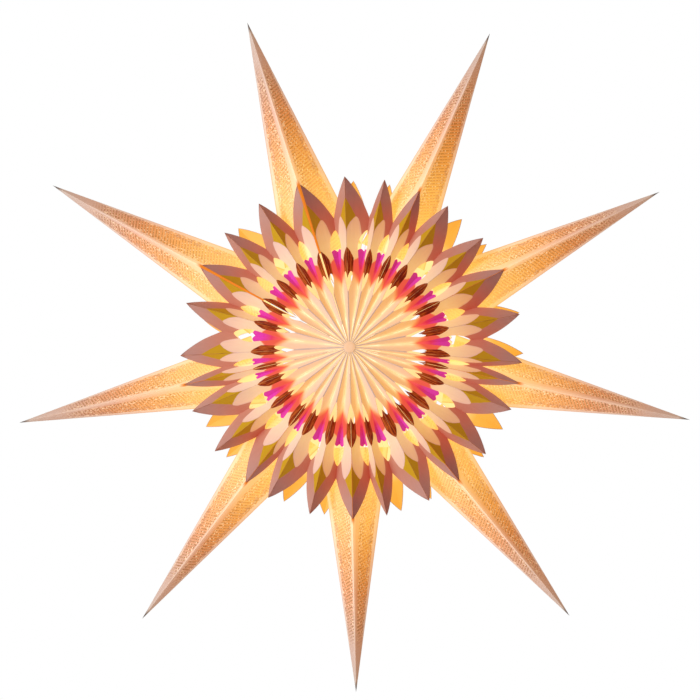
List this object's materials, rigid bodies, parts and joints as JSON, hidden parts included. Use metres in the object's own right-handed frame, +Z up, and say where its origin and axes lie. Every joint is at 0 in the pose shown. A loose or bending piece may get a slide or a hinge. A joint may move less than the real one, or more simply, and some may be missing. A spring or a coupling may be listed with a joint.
{
  "type": "paper star lamp shade",
  "caption": "Paper star lamp shade with long folded points, a pleated and cut rosette of petals on both faces, and a lamp holder and bulb inside.",
  "frame": {"origin": "centre of the mouth of the cord inlet, in the middle of the star's back", "axes": "+Z up, -Y towards the star's front, +X to the right as seen from the front"},
  "size_m": [0.5863, 0.1394, 0.5853],
  "materials": {
    "point_paper": "matte, lit from inside",
    "front_fan_paper": "matte, printed",
    "back_fan_paper": "matte, printed",
    "hub_card": "matte",
    "lamp_plastic": "satin",
    "lamp_brass": "satin",
    "bulb_metal": "satin",
    "bulb_glass": "opal, lit"
  },
  "bodies": {
    "root": {"point_1": "point_paper", "point_2": "point_paper", "point_3": "point_paper", "point_4": "point_paper", "point_5": "point_paper", "point_6": "point_paper", "point_7": "point_paper", "point_8": "point_paper", "point_9": "point_paper", "front_fan_1": "front_fan_paper", "front_fan_2": "front_fan_paper", "front_fan_3": "front_fan_paper", "front_fan_4": "front_fan_paper", "front_fan_5": "front_fan_paper", "front_fan_6": "front_fan_paper", "front_fan_7": "front_fan_paper", "front_fan_8": "front_fan_paper", "front_fan_9": "front_fan_paper", "back_fan_1": "back_fan_paper", "back_fan_2": "back_fan_paper", "back_fan_3": "back_fan_paper", "back_fan_4": "back_fan_paper", "back_fan_5": "back_fan_paper", "back_fan_6": "back_fan_paper", "back_fan_7": "back_fan_paper", "back_fan_8": "back_fan_paper", "back_fan_9": "back_fan_paper", "hub_button": "hub_card", "hub_washer": "hub_card", "lamp_collar": "lamp_plastic", "clamp_ring": "lamp_plastic", "lamp_holder": "lamp_plastic", "holder_nut": "lamp_plastic", "screw_shell": "lamp_brass", "contact_tab": "lamp_brass", "bulb_cap": "bulb_metal", "bulb_globe": "bulb_glass"}
  },
  "joints": []
}
